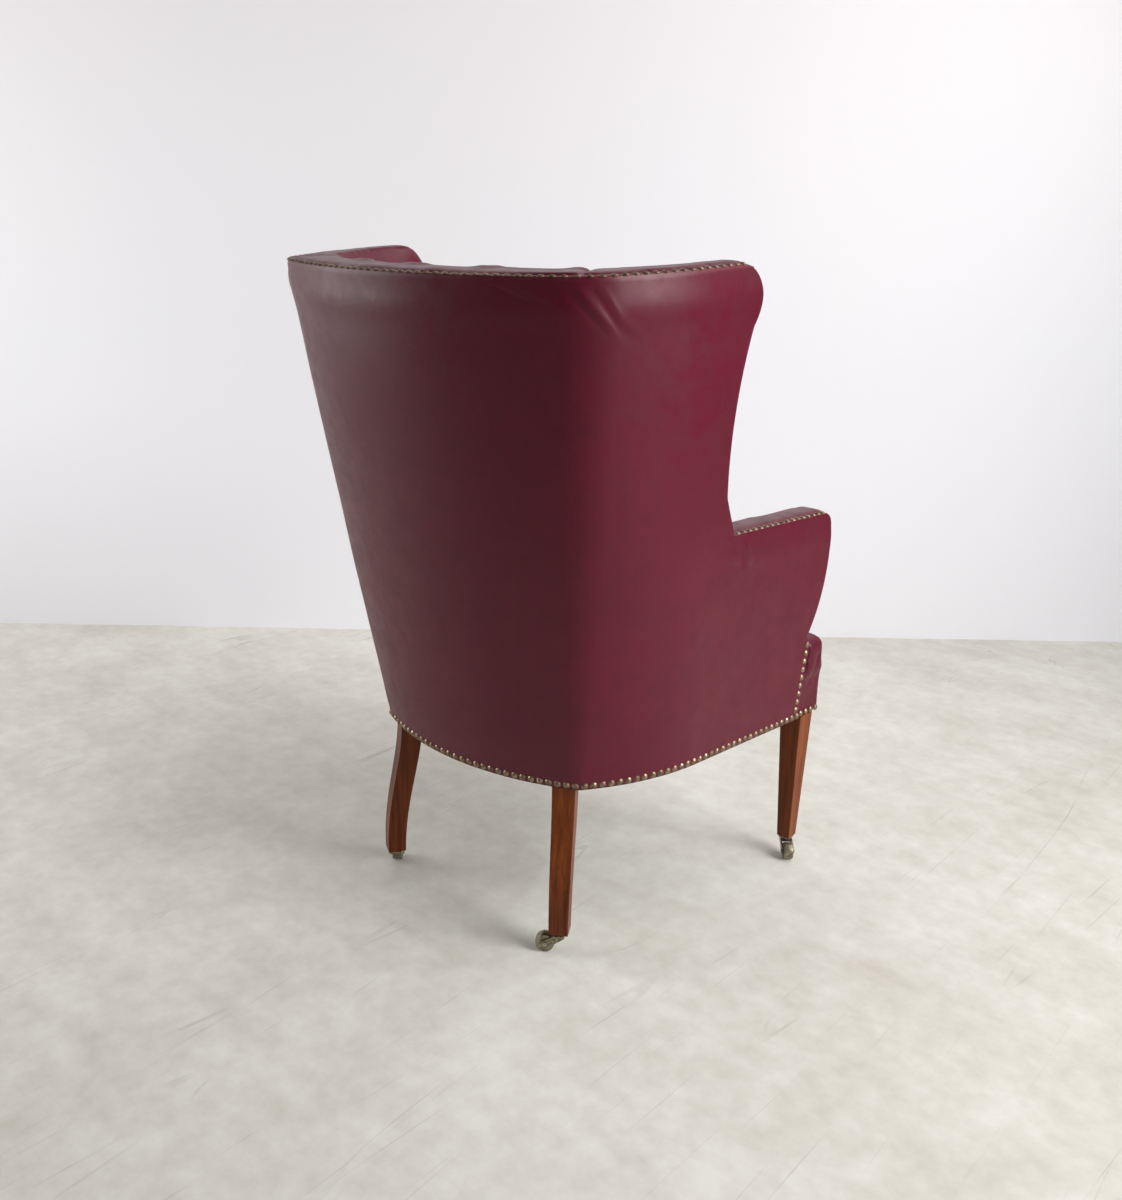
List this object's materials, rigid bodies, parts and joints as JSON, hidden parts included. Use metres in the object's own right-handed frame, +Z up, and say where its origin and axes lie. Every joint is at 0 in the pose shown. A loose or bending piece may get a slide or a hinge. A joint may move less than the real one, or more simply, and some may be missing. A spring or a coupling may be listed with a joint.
{
  "type": "barrel backed wing armchair",
  "caption": "Upholstered barrel back wing armchair in nailed leather on square tapered front legs, sabre rear legs and small brass casters.",
  "frame": {"origin": "on the floor under the middle of the chair", "axes": "+Z up, -Y out of the seat front, +X to the sitter's left"},
  "size_m": [0.7526, 0.7419, 1.1033],
  "materials": {
    "leather": "smooth oxblood leather, slightly worn",
    "nail_brass": "aged domed nails",
    "mahogany": "polished dark mahogany",
    "frame_timber": "sawn beech",
    "wadding": "cotton wadding and hessian",
    "webbing": "jute webbing",
    "canvas": "hessian spring canvas",
    "spring_steel": "coppered spring wire",
    "dust_cloth": "black dust cloth",
    "caster_brass": "dull aged brass",
    "caster_wheel": "dull aged brass wheel",
    "steel": "dull steel"
  },
  "bodies": {
    "chair": {"outside_cover": "leather", "front_border": "leather", "seat_pad": "leather", "inside_back": "leather", "inside_arm_right": "leather", "inside_arm_left": "leather", "inside_wing_right": "leather", "inside_wing_left": "leather", "back_buttons": "leather", "nails_bottom": "nail_brass", "nails_rim": "nail_brass", "nails_arms": "nail_brass", "nails_skirt": "nail_brass", "front_leg_right": "mahogany", "front_leg_left": "mahogany", "rear_leg_right": "mahogany", "rear_leg_left": "mahogany", "seat_rail_front": "frame_timber", "seat_rail_back": "frame_timber", "seat_rail_right": "frame_timber", "seat_rail_left": "frame_timber", "corner_blocks": "frame_timber", "rear_post_right": "frame_timber", "rear_post_left": "frame_timber", "arm_post_right": "frame_timber", "arm_post_left": "frame_timber", "wing_post_right": "frame_timber", "wing_post_left": "frame_timber", "arm_rail_right": "frame_timber", "arm_rail_left": "frame_timber", "wing_rail_right": "frame_timber", "wing_rail_left": "frame_timber", "crest_rail": "frame_timber", "tacking_rail_right": "frame_timber", "tacking_rail_left": "frame_timber", "tacking_rail_back": "frame_timber", "outside_lining": "wadding", "seat_webbing": "webbing", "spring_canvas": "canvas", "seat_springs": "spring_steel", "bottom_cloth": "dust_cloth", "caster_plate_front_right": "caster_brass", "caster_plate_front_left": "caster_brass", "caster_plate_rear_right": "caster_brass", "caster_plate_rear_left": "caster_brass", "caster_screws": "steel"},
    "fork_front_right": {"caster_fork_front_right": "caster_brass", "caster_axle_front_right": "steel"},
    "wheel_front_right": {"caster_wheel_front_right": "caster_wheel"},
    "fork_front_left": {"caster_fork_front_left": "caster_brass", "caster_axle_front_left": "steel"},
    "wheel_front_left": {"caster_wheel_front_left": "caster_wheel"},
    "fork_rear_right": {"caster_fork_rear_right": "caster_brass", "caster_axle_rear_right": "steel"},
    "wheel_rear_right": {"caster_wheel_rear_right": "caster_wheel"},
    "fork_rear_left": {"caster_fork_rear_left": "caster_brass", "caster_axle_rear_left": "steel"},
    "wheel_rear_left": {"caster_wheel_rear_left": "caster_wheel"}
  },
  "joints": [
    {"name": "swivel_front_right", "type": "hinge", "parent": "chair", "child": "fork_front_right", "pos_m": [-0.313, -0.334, 0.028], "axis": [0, 0, 1], "continuous": true},
    {"name": "roll_front_right", "type": "hinge", "parent": "fork_front_right", "child": "wheel_front_right", "pos_m": [-0.32859, -0.31575, 0.016], "axis": [-0.7604, -0.6494, 0], "continuous": true},
    {"name": "swivel_front_left", "type": "hinge", "parent": "chair", "child": "fork_front_left", "pos_m": [0.313, -0.334, 0.028], "axis": [0, 0, 1], "continuous": true},
    {"name": "roll_front_left", "type": "hinge", "parent": "fork_front_left", "child": "wheel_front_left", "pos_m": [0.31921, -0.31082, 0.016], "axis": [-0.9659, 0.2588, 0], "continuous": true},
    {"name": "swivel_rear_right", "type": "hinge", "parent": "chair", "child": "fork_rear_right", "pos_m": [-0.20098, 0.19893, 0.028], "axis": [0, 0, 1], "continuous": true},
    {"name": "roll_rear_right", "type": "hinge", "parent": "fork_rear_right", "child": "wheel_rear_right", "pos_m": [-0.18273, 0.21452, 0.016], "axis": [-0.6494, 0.7604, 0], "continuous": true},
    {"name": "swivel_rear_left", "type": "hinge", "parent": "chair", "child": "fork_rear_left", "pos_m": [0.20098, 0.19893, 0.028], "axis": [0, 0, 1], "continuous": true},
    {"name": "roll_rear_left", "type": "hinge", "parent": "fork_rear_left", "child": "wheel_rear_left", "pos_m": [0.21657, 0.18068, 0.016], "axis": [0.7604, 0.6494, 0], "continuous": true}
  ]
}
